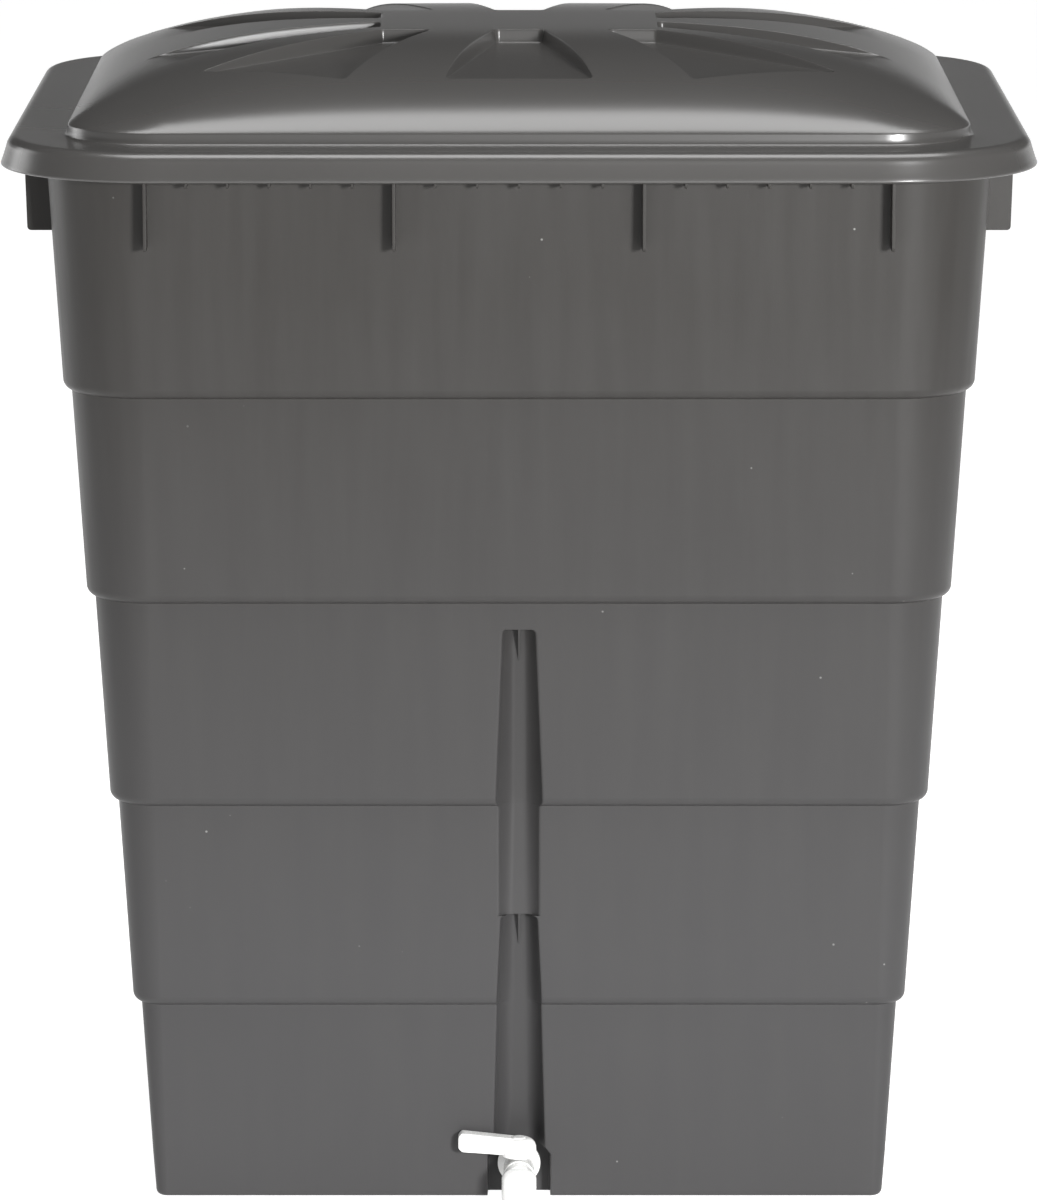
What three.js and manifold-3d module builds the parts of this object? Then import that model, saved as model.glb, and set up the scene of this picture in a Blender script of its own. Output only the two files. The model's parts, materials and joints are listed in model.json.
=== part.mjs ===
// Rain barrel: a tapered five-tier tank, a lift-off domed lid and a ball-valve tap.
// Millimetres, +Z up. The origin is the centre of the base and the tap faces -Y.
import * as THREE from 'three';
import { mergeVertices } from 'three/addons/utils/BufferGeometryUtils.js';
import Module from 'manifold-3d';

const wasm = await Module();
wasm.setup();

// ---- Driving dimensions ----

const GAP = 0.3;                    // running gap between neighbouring pieces

// Tank
const WALL = 4;
const FLOOR = 4.5;
const BASE_HALF_X = 294.2;          // outer half-width at the base
const DEPTH_LESS = 60;              // the barrel is this much shallower than wide, each side
const DRAFT = 0.0612;               // 3.5 degrees
const STEP = 6.3;                   // setback at each tier line
const STEP_HEIGHTS = [163.5, 331, 498.5, 665];
const EDGE_RADIUS = 8;              // rounded bottom edge of each tier
const BASE_EDGE = 5;
const FLAT_HALF_BASE = 284.5;       // flat half-width of the front at the base
const FLAT_HALF_DRAFT = 0.0155;     // and how it grows with height
const RIM_HALF_X = 394.3;
const RIM_CORNER = 115;
const RIM_SKIRT = 3.5;
const RIM_TOP = 861.2;
const RIM_BOTTOM = 839.5;
const RIM_PLATE = 4;
const RIM_ROLL = 3.5;               // bevel that clears the inside of the lid's rolled edge

// Ribs under the rim
const GUSSET_THICK = 2.5;
const GUSSET_BOTTOM = 786;
const GUSSET_FRONT = [-290, -97, 97, 290];
const GUSSET_SIDE = [-207, -69, 69, 207];
const GUSSET_LEAN = 2;              // the outer edge leans in by this at its foot
const TICK_THICK = 2;
const TICK_BOTTOM = 835.5;
const TICK_PITCH = 32;

// Hooded channel on the front
const HOOD_A = 477;
const HOOD_B = 239;
const WEB_THICK = 1.8;
const WEB_HEIGHT = 28;

// Tap niche and pad
const PAD_Y = -214;                 // flat face that the tap seals on
const PAD_TOP = 46;
const NICHE_HALF = 25.3;
const NICHE_SHOULDER = 36;
const NICHE_TOP = 42;
const NICHE_TOP_HALF = 21;

// Lid
const LID_HALF_X = 408;             // at the foot of the flared lip
const LID_HALF_Y = LID_HALF_X - DEPTH_LESS;
const LID_CORNER = 124;
const LID_WALL = 3.2;
const LIP_BOTTOM = 842;
const SHELF = 864.7;
const SHELF_INSET = 53;             // lip edge to the foot of the dome
const DOME_EDGE = 874;
const DOME_TOP = 931;
const HUB_HALF_X = 114;             // the flat hub that the flutes start from
const HUB_HALF_Y = 72;
const FLUTE_DEPTH = 10.8;           // at the hub
const FLUTE_FLARE = 0.18;           // how much a flute's walls lean outward, per unit of height

// Tap
const TAP_Z = 25;                   // inlet axis
const THREAD_R = 13.1;
const COLLAR_R = 17.2;
const TAIL_END = PAD_Y + 26;        // inner end of the threaded tail
const GASKET = 3;                   // thickness outside the tank
const INNER_GASKET = 2.5;
const BALL_Y = -246;
const BALL_R = 8.5;
const BALL_BORE = 5.5;
const RING_Y = BALL_Y - 13;         // the spout's O-ring
const HOUSING_FRONT = BALL_Y - 16;  // where the housing meets the spout elbow
const HOUSING_R = 12.5;
const HOUSING_BORE = 9.4;
const SEAT_R = 9.1;
const SPOUT_Y = -276;
const SPOUT_R = 14;
const SPOUT_BORE = 9.5;
const OUTLET_Z = 8;
const STEM_R = 4;
const STEM_HOLE = 4.2;
const TOWER_R = 7;
const TOWER_TOP = 45;
const LEVER_BOTTOM = 38.2;
const LEVER_TOP = 53;
const LEVER_REACH = 49;
const LEVER_RISE = 5;               // how much the arm climbs to its tip

// ---- Solids ----

function solid(geometry) {
  const bare = geometry.clone();
  bare.deleteAttribute('normal');
  bare.deleteAttribute('uv');
  const merged = mergeVertices(bare, 1e-4);
  return new wasm.Manifold(new wasm.Mesh({
    numProp: 3,
    vertProperties: new Float32Array(merged.attributes.position.array),
    triVerts: new Uint32Array(merged.index.array),
  }));
}

function geometryOf(manifold) {
  const mesh = manifold.getMesh();
  const geometry = new THREE.BufferGeometry();
  geometry.setAttribute('position', new THREE.BufferAttribute(mesh.vertProperties, 3));
  geometry.setIndex(new THREE.BufferAttribute(mesh.triVerts, 1));
  geometry.computeVertexNormals();
  return geometry;
}

// A closed skin over a stack of rings, lowest first, each counter-clockwise seen from above.
function loft(rings) {
  const count = rings[0].length;
  const points = rings.flat();
  const faces = [];
  for (let level = 0; level + 1 < rings.length; level += 1) {
    for (let i = 0; i < count; i += 1) {
      const a = level * count + i;
      const b = level * count + (i + 1) % count;
      faces.push(a, b, b + count, a, b + count, a + count);
    }
  }
  const last = (rings.length - 1) * count;
  for (const [start, up] of [[0, false], [last, true]]) {
    const middle = new THREE.Vector3();
    for (let i = 0; i < count; i += 1) middle.add(points[start + i]);
    points.push(middle.divideScalar(count));
    const centre = points.length - 1;
    for (let i = 0; i < count; i += 1) {
      const a = start + i;
      const b = start + (i + 1) % count;
      faces.push(centre, up ? a : b, up ? b : a);
    }
  }
  const geometry = new THREE.BufferGeometry().setFromPoints(points);
  geometry.setIndex(faces);
  return solid(geometry);
}

// Rounded rectangle as a ring of points; sideSteps adds points along the straight sides.
function roundedRing(halfX, halfY, radius, height, cornerSteps = 5, sideSteps = 1) {
  const corners = [[1, 1, 0], [-1, 1, 1], [-1, -1, 2], [1, -1, 3]];
  const ring = [];
  for (const [sx, sy, quarter] of corners) {
    for (let i = 0; i <= cornerSteps; i += 1) {
      const angle = (quarter + i / cornerSteps) * Math.PI / 2;
      const x = sx * (halfX - radius) + radius * Math.cos(angle);
      const y = sy * (halfY - radius) + radius * Math.sin(angle);
      ring.push(new THREE.Vector3(x, y, height));
    }
    const from = ring[ring.length - 1];
    const alongX = quarter % 2 === 0;
    const reach = alongX ? 2 * (halfX - radius) : 2 * (halfY - radius);
    const sign = quarter < 2 ? -1 : 1;
    for (let i = 1; i < sideSteps; i += 1) {
      const step = sign * reach * i / sideSteps;
      ring.push(new THREE.Vector3(from.x + (alongX ? step : 0), from.y + (alongX ? 0 : step), height));
    }
  }
  return ring;
}

function box(minimum, maximum) {
  const size = maximum.map((value, i) => value - minimum[i]);
  const geometry = new THREE.BoxGeometry(...size);
  geometry.translate(...minimum.map((value, i) => value + size[i] / 2));
  return solid(geometry);
}

// Solid of revolution about Z from [radius, height] points that start and end on the axis.
function turned(profile, segments = 24) {
  const points = profile.map(([radius, height]) => new THREE.Vector2(radius, height));
  return solid(new THREE.LatheGeometry(points, segments)).rotate([90, 0, 0]);
}

// Ring of revolution about Z from a closed [radius, height] outline, counter-clockwise.
function turnedRing(outline, segments = 24) {
  return turned([...outline, outline[0]], segments);
}

function cylinder(radius, from, to, segments = 24) {
  return turned([[0, from], [radius, from], [radius, to], [0, to]], segments);
}

function torus(major, minor, height, segments = 20, around = 6) {
  const outline = [];
  for (let i = 0; i < around; i += 1) {
    const angle = 2 * Math.PI * i / around;
    outline.push([major + minor * Math.cos(angle), height + minor * Math.sin(angle)]);
  }
  return turnedRing(outline, segments);
}

// Turns a piece built about +Z so that its axis runs along Y, with its +Z end facing +Y.
function alongY(piece, x = 0, y = 0, z = TAP_Z) {
  return piece.rotate([-90, 0, 0]).translate([x, y, z]);
}

// A prism from [x, y] points, extruded upward in its own frame.
function prism(points, depth) {
  const shape = new THREE.Shape(points.map(([x, y]) => new THREE.Vector2(x, y)));
  return solid(new THREE.ExtrudeGeometry(shape, { depth, bevelEnabled: false }));
}

// A plate in the YZ plane from [y, z] points, centred on x.
function plateYZ(points, x, thick) {
  return prism(points, thick).rotate([90, 0, 90]).translate([x - thick / 2, 0, 0]);
}

function subtractAll(base, cutters) {
  return cutters.reduce((result, cutter) => result.subtract(cutter), base);
}

function addAll(pieces) {
  return pieces.reduce((result, piece) => result.add(piece));
}

// ---- Tank ----

function tierAt(z) {
  return STEP_HEIGHTS.filter((height) => z > height).length;
}

function outerHalf(z, tier = tierAt(z)) {
  return BASE_HALF_X + DRAFT * z + STEP * tier;
}

function frontWall(z, tier = tierAt(z)) {
  return -(outerHalf(z, tier) - DEPTH_LESS);
}

function tankRing(z, tier, inset) {
  const half = outerHalf(z, tier) - inset;
  const flat = FLAT_HALF_BASE + FLAT_HALF_DRAFT * z;
  const radius = Math.max(outerHalf(z, tier) - flat - inset, 3);
  return (height) => roundedRing(half, half - DEPTH_LESS, radius, height);
}

// The tank's skin, inset 0 for the outside and WALL for the inside.
function tankSkin(inset, bottom, top) {
  const rings = [];
  const arcSteps = 3;
  const below = 0.4;                // the wall's last ring under each tier line
  for (let i = 0; i <= 2; i += 1) {
    const angle = Math.PI / 4 * i;
    const run = BASE_EDGE * (1 - Math.sin(angle));
    rings.push(tankRing(bottom, 0, inset + run)(bottom + BASE_EDGE * (1 - Math.cos(angle))));
  }
  const endAngle = Math.acos(1 - STEP / EDGE_RADIUS);
  STEP_HEIGHTS.forEach((height, index) => {
    const centre = height + EDGE_RADIUS * Math.sin(endAngle);
    const radius = EDGE_RADIUS - inset;
    const shelf = centre - radius * Math.sin(endAngle);
    rings.push(tankRing(shelf - below, index, inset)(shelf - below));
    for (let i = arcSteps; i >= 0; i -= 1) {
      const angle = endAngle * i / arcSteps;
      const run = EDGE_RADIUS - radius * Math.cos(angle);
      rings.push(tankRing(centre, index + 1, run)(centre - radius * Math.sin(angle)));
    }
  });
  rings.push(tankRing(top, STEP_HEIGHTS.length, inset)(top));
  return loft(rings);
}

function rim() {
  const ring = (inset, z) => roundedRing(
    RIM_HALF_X - inset, RIM_HALF_X - inset - DEPTH_LESS, RIM_CORNER - inset, z, 7);
  return loft([ring(0, RIM_BOTTOM), ring(0, RIM_TOP - RIM_ROLL), ring(RIM_ROLL, RIM_TOP)])
    .subtract(loft([ring(RIM_SKIRT, RIM_BOTTOM - 1), ring(RIM_SKIRT, RIM_TOP - RIM_PLATE)]));
}

// A rib on the side that faces -Y turned by `turn` degrees; `less` is DEPTH_LESS on the front
// and back, and 0 on the sides.
function rimRib(along, thick, foot, turn, less) {
  const wall = -(outerHalf(foot) - less) + WALL / 2;
  const edge = -(RIM_HALF_X - less) + RIM_SKIRT - 0.5;
  const top = RIM_TOP - RIM_PLATE / 2;
  const lean = foot === GUSSET_BOTTOM ? GUSSET_LEAN : 0;
  const nib = 3;                    // rounding of the lower outer corner
  const outline = [
    [edge, top], [edge + lean, foot + nib], [edge + lean + nib * 0.3, foot + nib * 0.3],
    [edge + lean + nib, foot], [wall, foot], [wall, top],
  ];
  return plateYZ(outline, along, thick).rotate([0, 0, turn]);
}

function rimRibs() {
  const ribs = [];
  const sides = [
    [0, GUSSET_FRONT, DEPTH_LESS], [180, GUSSET_FRONT, DEPTH_LESS],
    [90, GUSSET_SIDE, 0], [270, GUSSET_SIDE, 0],
  ];
  for (const [turn, places, less] of sides) {
    places.forEach((place, index) => {
      ribs.push(rimRib(place, GUSSET_THICK, GUSSET_BOTTOM, turn, less));
      if (index === 0) return;
      const span = place - places[index - 1];
      const cells = Math.round(span / TICK_PITCH);
      for (let i = 1; i < cells; i += 1) {
        ribs.push(rimRib(place - span * i / cells, TICK_THICK, TICK_BOTTOM, turn, less));
      }
    });
  }
  return ribs;
}

// Channel stations, highest first: [height, floor y, half-width at the wall, half-width of the floor].
const CHANNEL_A = {
  bulge: 0.5,
  stations: [
    [HOOD_A, -264, 13.2, 4], [335, -247.4, 18.9, 4.5], [329, -247, 16.2, 4.5], [HOOD_B - 3, -247, 16.4, 6],
  ],
};
const CHANNEL_B = {
  bulge: 0.7,
  stations: [
    [HOOD_B, -238, 14.8, 4], [165.5, -230.1, 18.2, 5], [161.5, -229.6, 17.8, 5], [75, -217.9, 20, 6],
    [PAD_TOP, PAD_Y, 20.6, 8], [-1, PAD_Y, 21.5, 8],
  ],
};

// How far a channel's side has opened out at a share `rise` of the way from the floor to the wall.
function channelSide(bulge, rise) {
  return (1 - bulge) * rise + bulge * Math.sqrt(1 - (1 - rise) ** 2);
}

function channelCutter({ bulge, stations }, grow) {
  const reach = 14;                 // how far the cutter stands out of the wall
  const ring = ([z, floorY, mouthHalf, floorHalf], height = z) => {
    const depth = floorY - frontWall(z);
    const right = [0, 0.12, 0.35, 0.65, 1].map((rise) => [
      floorHalf + grow + (mouthHalf - floorHalf) * channelSide(bulge, rise),
      floorY + grow - rise * depth,
    ]);
    const slope = (1 - bulge) * (mouthHalf - floorHalf) / depth;
    right.push([mouthHalf + grow + slope * reach, floorY + grow - depth - reach]);
    const left = right.map(([x, y]) => [-x, y]);
    return [...right.reverse(), ...left].map(([x, y]) => new THREE.Vector3(x, y, height));
  };
  const rings = [...stations].reverse().map((station) => ring(station));
  if (grow > 0) rings.push(ring(stations[0], stations[0][0] + grow));
  return loft(rings);
}

function nicheCutter(grow) {
  const half = NICHE_HALF + grow;
  const topHalf = NICHE_TOP_HALF + grow;
  const shoulder = NICHE_SHOULDER + grow / 2;
  const outline = [
    [-half, -1], [half, -1], [half, shoulder],
    [topHalf, NICHE_TOP + grow], [-topHalf, NICHE_TOP + grow], [-half, shoulder],
  ];
  const depth = 60;
  return prism(outline, depth).rotate([90, 0, 0]).translate([0, PAD_Y + grow, 0]);
}

// The upright web under each hood, from the hood's edge down to the channel floor.
function channelWebs() {
  const rooted = 1.5;               // how far a web runs into the wall behind it
  const web = (top, edge, floorTop, floorFoot) => plateYZ([
    [edge, top + 1], [edge, top], [floorFoot - 0.2, top - WEB_HEIGHT],
    [floorFoot + rooted, top - WEB_HEIGHT], [floorTop + rooted, top + 1],
  ], 0, WEB_THICK);
  const floorBelow = ({ stations: [high, low] }) => (
    high[1] + (low[1] - high[1]) * WEB_HEIGHT / (high[0] - low[0]));
  const hoodFloor = ({ stations }) => stations[0][1];
  const lastFloor = ({ stations }) => stations[stations.length - 1][1];
  return [
    web(HOOD_A, frontWall(HOOD_A) + 0.8, hoodFloor(CHANNEL_A), floorBelow(CHANNEL_A)),
    web(HOOD_B, lastFloor(CHANNEL_A) + 0.6, hoodFloor(CHANNEL_B), floorBelow(CHANNEL_B)),
  ];
}

function makeTank() {
  const recesses = (grow) => [
    channelCutter(CHANNEL_A, grow), channelCutter(CHANNEL_B, grow), nicheCutter(grow),
  ];
  const block = addAll([tankSkin(0, 0, RIM_TOP), rim(), ...rimRibs()]);
  const outside = addAll([subtractAll(block, recesses(0)), ...channelWebs()]);
  const inside = subtractAll(tankSkin(WALL, FLOOR, RIM_TOP + 5), recesses(WALL));
  const tapHole = alongY(cylinder(THREAD_R + 0.5, -10, 10), 0, PAD_Y);
  return subtractAll(outside, [inside, tapHole]);
}

// ---- Lid ----

// Height of the dome over a plan point; scale is 0 at the centre and 1 at the dome's edge.
function domeHeight(x, y, scale) {
  const halfX = LID_HALF_X - SHELF_INSET;
  const halfY = LID_HALF_Y - SHELF_INSET;
  const fall = (u) => 0.87 * u ** 4 + 0.13 * u ** 24;
  const sum = fall(Math.abs(x) / halfX) + fall(Math.abs(y) / halfY);
  const weight = scale ** 4;
  return DOME_TOP - (DOME_TOP - DOME_EDGE) * ((1 - weight) * sum + weight * fall(scale));
}

// The lid's skin, thick 0 for the outside and LID_WALL for the inside.
function lidSkin(thick) {
  const cornerSteps = 6;
  const sideSteps = 6;
  const ring = (run, z) => roundedRing(
    LID_HALF_X - run, LID_HALF_Y - run, LID_CORNER - run, z, cornerSteps, sideSteps);
  const rings = [];
  if (thick === 0) rings.push(ring(1.2, LIP_BOTTOM), ring(0, LIP_BOTTOM + 1.5));
  else rings.push(ring(thick, LIP_BOTTOM - 2));
  for (const [run, drop, share] of [[4.6, 8.5, 0.2], [6.2, 4.6, 0.5], [9.2, 1.4, 0.85], [13.5, 0, 1]]) {
    rings.push(ring(run + thick, SHELF - drop - thick * share));
  }
  rings.push(ring(SHELF_INSET - 2 + thick, SHELF - thick));
  rings.push(ring(SHELF_INSET - 1 + thick, SHELF + 1.5 - thick));
  const edge = ring(SHELF_INSET + thick, DOME_EDGE - 0.8 - thick);
  rings.push(edge);
  for (const scale of [0.99, 0.96, 0.91, 0.84, 0.75, 0.64, 0.5, 0.32]) {
    rings.push(edge.map(({ x, y }) => {
      const px = x * scale;
      const py = y * scale;
      return new THREE.Vector3(px, py, domeHeight(px, py, scale) - thick);
    }));
  }
  return loft(rings);
}

// Flutes as four plan corners, counter-clockwise from above, then the floor's rise along x and y,
// the middle of the wall at the hub, and the ways that the flute is mirrored.
const BOTH_ENDS = [[1, 1], [1, -1]];
const ALL_QUARTERS = [[1, 1], [-1, 1], [1, -1], [-1, -1]];
const FLUTES = [
  {
    corners: [[-18, -HUB_HALF_Y], [-58, -236], [58, -236], [18, -HUB_HALF_Y]],
    rise: [0, 0.066], start: [0, -HUB_HALF_Y], mirror: BOTH_ENDS,
  },
  {
    corners: [[110, -HUB_HALF_Y], [72, -HUB_HALF_Y], [137, -236], [252, -198]],
    rise: [-0.016, 0.0655], start: [91, -HUB_HALF_Y], mirror: ALL_QUARTERS,
  },
  {
    corners: [[HUB_HALF_X, -14], [HUB_HALF_X, -50], [304, -154], [316, -70]],
    rise: [-0.064, 0.01], start: [HUB_HALF_X, -32], mirror: ALL_QUARTERS,
  },
];

function fluteCutter({ corners, rise, start }, [mirrorX, mirrorY], grow) {
  const ceiling = DOME_TOP + 15;
  const middle = corners.reduce((sum, [x, y]) => [sum[0] + x / 4, sum[1] + y / 4], [0, 0]);
  const spread = (x, y, by) => {
    const dx = x - middle[0];
    const dy = y - middle[1];
    const length = Math.hypot(dx, dy);
    return [x + dx / length * by, y + dy / length * by];
  };
  const floor = (x, y) => (
    DOME_TOP - FLUTE_DEPTH + rise[0] * (x - start[0]) + rise[1] * (y - start[1]));
  const ordered = mirrorX * mirrorY > 0 ? corners : [...corners].reverse();
  const level = (pick) => ordered.map(([x, y]) => {
    const low = floor(x, y) - grow;
    const z = pick(low);
    const [px, py] = spread(x, y, grow * 1.2 + FLUTE_FLARE * (z - low));
    return new THREE.Vector3(px * mirrorX, py * mirrorY, z);
  });
  return loft([level((low) => low), level(() => ceiling)]);
}

function makeLid() {
  const cutters = (grow) => FLUTES.flatMap((flute) => (
    flute.mirror.map((way) => fluteCutter(flute, way, grow))));
  const outer = subtractAll(lidSkin(0), cutters(0));
  const inner = subtractAll(lidSkin(LID_WALL), cutters(LID_WALL));
  return outer.subtract(inner);
}

// ---- Tap ----

function makeTapBody() {
  const collarBack = PAD_Y - GAP - GASKET - GAP;
  const neckFront = BALL_Y + HOUSING_BORE + 3;
  const along = (radius, from, to, segments) => alongY(cylinder(radius, from, to, segments));
  const outside = addAll([
    along(THREAD_R, collarBack - 1, TAIL_END),
    along(COLLAR_R, collarBack - 4.7, collarBack, 40),
    along(HOUSING_R - 2, neckFront - 4, collarBack - 1),
    along(HOUSING_R, HOUSING_FRONT, neckFront, 40),
    cylinder(TOWER_R, TAP_Z + 8, TOWER_TOP).translate([0, BALL_Y, 0]),
  ]);
  return subtractAll(outside, [
    along(BALL_BORE + 1, BALL_Y, TAIL_END + 1),
    along(HOUSING_BORE, HOUSING_FRONT - 1, BALL_Y + 9.7, 40),
    cylinder(5.8, TAP_Z, TAP_Z + 11).translate([0, BALL_Y, 0]),
    cylinder(STEM_HOLE, TAP_Z, TOWER_TOP + 1).translate([0, BALL_Y, 0]),
  ]);
}

function makeSpout() {
  const face = HOUSING_FRONT - GAP;
  const along = (radius, from, to) => alongY(cylinder(radius, from, to));
  const dome = [];
  for (let i = 0; i <= 4; i += 1) {
    const angle = Math.PI / 2 * i / 4;
    dome.push([SPOUT_R * Math.cos(angle), TAP_Z + 2 + 9 * Math.sin(angle)]);
  }
  dome[dome.length - 1][0] = 0;
  const column = turned([[0, OUTLET_Z], [SPOUT_R, OUTLET_Z], ...dome], 40).translate([0, SPOUT_Y, 0]);
  const outside = addAll([
    column,
    along(HOUSING_R - 0.6, SPOUT_Y, face),
    along(SEAT_R, face - 1, BALL_Y - 9.7),
  ]);
  const groove = alongY(turnedRing([
    [7.6, RING_Y - 1.2], [12, RING_Y - 1.2], [12, RING_Y + 1.2], [7.6, RING_Y + 1.2],
  ]));
  return subtractAll(outside, [
    along(BALL_BORE + 0.5, SPOUT_Y, BALL_Y),
    cylinder(SPOUT_BORE, OUTLET_Z - 1, TAP_Z + 5).translate([0, SPOUT_Y, 0]),
    groove,
  ]);
}

function makeBall() {
  const arc = [];
  const steps = 12;
  for (let i = 0; i <= steps; i += 1) {
    const angle = Math.PI * (i / steps - 0.5);
    arc.push([Math.max(BALL_R * Math.cos(angle), 0), BALL_R * Math.sin(angle)]);
  }
  arc[0][0] = 0;
  arc[steps][0] = 0;
  const bore = cylinder(BALL_BORE, -10, 10, 24).rotate([0, 90, 0]);
  const slot = box([-5, -1.6, BALL_R - 2.2], [5, 1.6, BALL_R + 1]);
  return turned(arc, 28).subtract(bore).subtract(slot).translate([0, BALL_Y, TAP_Z]);
}

// Seat ring on the tank side (side 1) or the spout side (side -1) of the ball.
function makeSeat(side) {
  const outline = [[5.8, 6.65], [7.9, 3.95], [SEAT_R, 3.95], [SEAT_R, 9.4], [5.8, 9.4]];
  const ring = turnedRing(outline, 32);
  return alongY(side > 0 ? ring : ring.rotate([180, 0, 0]), 0, BALL_Y);
}

function makeStem() {
  const profile = [
    [0, 34.3], [5.4, 34.3], [5.4, 35], [STEM_R, 35], [STEM_R, 38.2], [2.8, 38.2], [2.8, 39.8],
    [STEM_R, 39.8], [STEM_R, 41.8], [2.8, 41.8], [2.8, 43.4], [STEM_R, 43.4], [STEM_R, 45.2],
    [0, 45.2],
  ];
  const tang = box([-3.7, -1.3, 31.6], [3.7, 1.3, 34.5]);
  const square = box([-2.8, -2.8, 44], [2.8, 2.8, 49.6]);
  return addAll([turned(profile, 28), tang, square])
    .subtract(cylinder(1.8, 44.6, 51, 16)).translate([0, BALL_Y, 0]);
}

// The lever's arm, hub and tip from the side, climbing toward the tip on -X.
function makeLever() {
  const hubRound = 8;
  const profile = [[0, LEVER_BOTTOM], [SPOUT_R, LEVER_BOTTOM], [SPOUT_R, LEVER_TOP - hubRound]];
  for (let i = 1; i <= 4; i += 1) {
    const angle = Math.PI / 2 * i / 4;
    const radius = SPOUT_R - hubRound + hubRound * Math.cos(angle);
    profile.push([radius, LEVER_TOP - hubRound + hubRound * Math.sin(angle)]);
  }
  profile.push([0, LEVER_TOP]);
  const hub = turned(profile, 40);
  const tipRound = 3;
  const tip = -LEVER_REACH;
  const low = LEVER_BOTTOM + LEVER_RISE - 1;
  const high = LEVER_TOP + LEVER_RISE;
  const sideView = [
    [-SPOUT_R, LEVER_BOTTOM], [tip + tipRound, low], [tip + 0.9, low + 0.9], [tip, low + tipRound],
    [tip, high - tipRound], [tip + 0.9, high - 0.9], [tip + tipRound, high], [0, LEVER_TOP],
    [0, LEVER_BOTTOM],
  ];
  const width = 13;
  const arm = prism(sideView, width).rotate([90, 0, 0]).translate([0, width / 2, 0]);
  return subtractAll(hub.add(arm), [
    cylinder(TOWER_R + 0.6, LEVER_BOTTOM - 1, TOWER_TOP + 0.6),
    box([-3.05, -3.05, TOWER_TOP], [3.05, 3.05, LEVER_TOP]),
    cylinder(5.9, 50, LEVER_TOP + 1, 28),
  ]).translate([0, BALL_Y, 0]);
}

function makeLeverScrew() {
  const profile = [[0, 45.2], [1.5, 45.2], [1.5, 50.3], [4.6, 50.3], [4.6, 51.6], [3.6, 52], [0, 52]];
  const slot = box([-2.2, -0.4, 51.2], [2.2, 0.4, 53]);
  return subtractAll(turned(profile), [slot, slot.rotate([0, 0, 90])]).translate([0, BALL_Y, 0]);
}

function makeLeverCap() {
  const profile = [[0, 52.3], [5.6, 52.3], [5.6, 53.2], [4.8, 53.8], [0, 54]];
  return turned(profile, 28).translate([0, BALL_Y, 0]);
}

function flatRing(inner, outer, from, to, segments = 24) {
  return turnedRing([[inner, from], [outer, from], [outer, to], [inner, to]], segments);
}

function makeLockNut() {
  const acrossFlats = 34;
  const outline = [];
  for (let i = 0; i < 6; i += 1) {
    const angle = Math.PI / 3 * i;
    const radius = acrossFlats / 2 / Math.cos(Math.PI / 6);
    outline.push([radius * Math.cos(angle), radius * Math.sin(angle)]);
  }
  return prism(outline, 9).subtract(cylinder(THREAD_R + GAP, -1, 10));
}

function makeStrainer() {
  const cup = turned([[0, 14], [9, 14], [9, 1.6], [12.4, 1.6], [12.4, 0], [0, 0]].reverse(), 32)
    .subtract(cylinder(7.4, -1, 12.4));
  const slots = [];
  for (let i = 0; i < 4; i += 1) {
    slots.push(box([-11, -1, 3.4], [11, 1, 11.4]).rotate([0, 0, 45 * i]));
  }
  return subtractAll(cup, slots);
}

// ---- Assembly ----

const FINISH = {
  tank: { color: 0x5f5d5c, roughness: 0.5, metalness: 0 },
  lid: { color: 0x646260, roughness: 0.28, metalness: 0 },
  tap: { color: 0xf2f2f0, roughness: 0.35, metalness: 0 },
  rubber: { color: 0x1c1c1d, roughness: 0.75, metalness: 0 },
  seat: { color: 0xe8e6df, roughness: 0.4, metalness: 0 },
  brass: { color: 0xb5a267, roughness: 0.25, metalness: 1 },
  steel: { color: 0xb9babc, roughness: 0.3, metalness: 1 },
  strainer: { color: 0x2b2c2d, roughness: 0.5, metalness: 0 },
};

const barrel = new THREE.Group();

function addPart(name, manifold, finish, parent = barrel) {
  const mesh = new THREE.Mesh(geometryOf(manifold), new THREE.MeshStandardMaterial(FINISH[finish]));
  mesh.name = name;
  parent.add(mesh);
  return mesh;
}

addPart('tank_body', makeTank(), 'tank');
addPart('lid', makeLid(), 'lid');

const tap = new THREE.Group();
barrel.add(tap);
const padInside = PAD_Y + WALL;
const gasket = (from, to) => flatRing(THREAD_R + GAP, COLLAR_R, from, to);
addPart('tap_body', makeTapBody(), 'tap', tap);
addPart('spout_elbow', makeSpout(), 'tap', tap);
addPart('outer_gasket', alongY(gasket(-GAP - GASKET, -GAP), 0, PAD_Y), 'rubber', tap);
addPart('inner_gasket', alongY(gasket(GAP, GAP + INNER_GASKET), 0, padInside), 'rubber', tap);
addPart('lock_nut', alongY(makeLockNut(), 0, padInside + INNER_GASKET + 2 * GAP), 'tap', tap);
addPart('inlet_strainer', alongY(makeStrainer(), 0, TAIL_END + GAP), 'strainer', tap);
addPart('inlet_seat', makeSeat(1), 'seat', tap);
addPart('outlet_seat', makeSeat(-1), 'seat', tap);
addPart('spout_o_ring', alongY(torus(8.45, 0.7, RING_Y)), 'rubber', tap);

const valve = new THREE.Group();
tap.add(valve);
addPart('valve_ball', makeBall(), 'brass', valve);
addPart('valve_stem', makeStem(), 'brass', valve);
addPart('stem_washer', flatRing(4.3, 5.5, 35.2, 35.8).translate([0, BALL_Y, 0]), 'seat', valve);
addPart('stem_o_ring_lower', torus(3.45, 0.55, 39).translate([0, BALL_Y, 0]), 'rubber', valve);
addPart('stem_o_ring_upper', torus(3.45, 0.55, 42.6).translate([0, BALL_Y, 0]), 'rubber', valve);
addPart('lever', makeLever(), 'tap', valve);
addPart('lever_screw', makeLeverScrew(), 'steel', valve);
addPart('lever_cap', makeLeverCap(), 'tap', valve);

export default barrel;
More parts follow.
